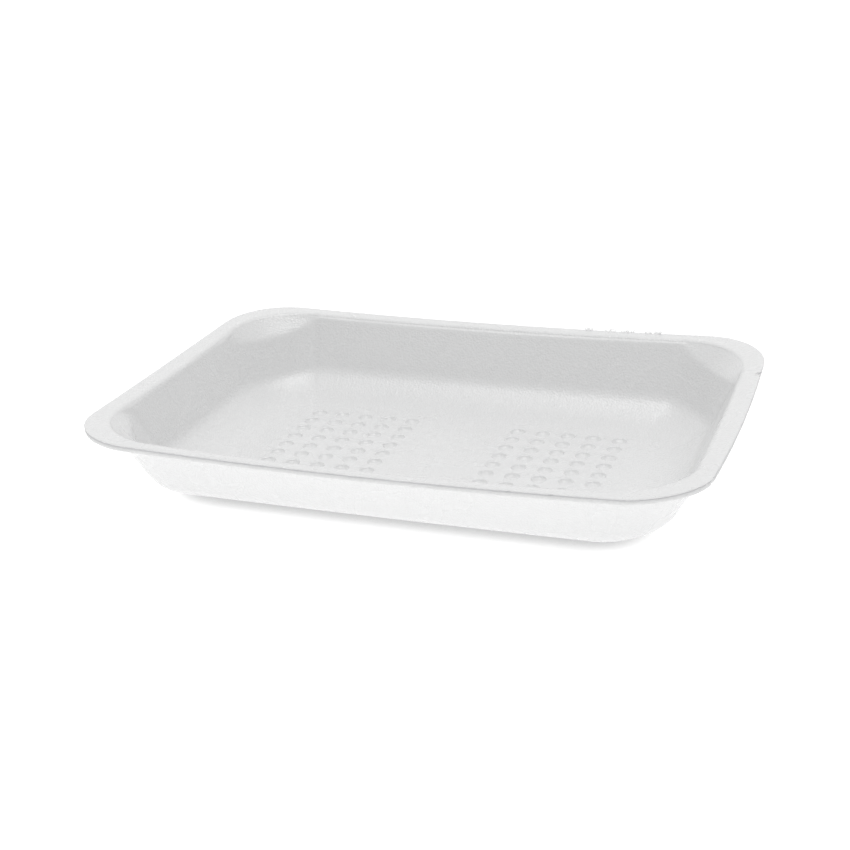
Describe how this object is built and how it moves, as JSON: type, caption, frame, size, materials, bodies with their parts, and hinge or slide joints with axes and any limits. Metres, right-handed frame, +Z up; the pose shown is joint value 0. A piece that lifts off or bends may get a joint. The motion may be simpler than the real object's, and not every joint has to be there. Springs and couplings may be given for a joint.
{
  "type": "foam tray",
  "caption": "Shallow open foam food tray with sloped walls, a flat flange, sloping corner ledges and two fields of small pits in its floor.",
  "frame": {"origin": "on the table, under the middle of the tray", "axes": "+X along the tray, +Y across it away from the viewer, +Z up"},
  "size_m": [0.2094, 0.1446, 0.0299],
  "materials": {
    "foam": "smooth white foamed plastic skin with a fine cell grain and a faint sheen; the cut edge is a little rougher"
  },
  "bodies": {
    "root": {"tray": "foam"}
  },
  "joints": []
}
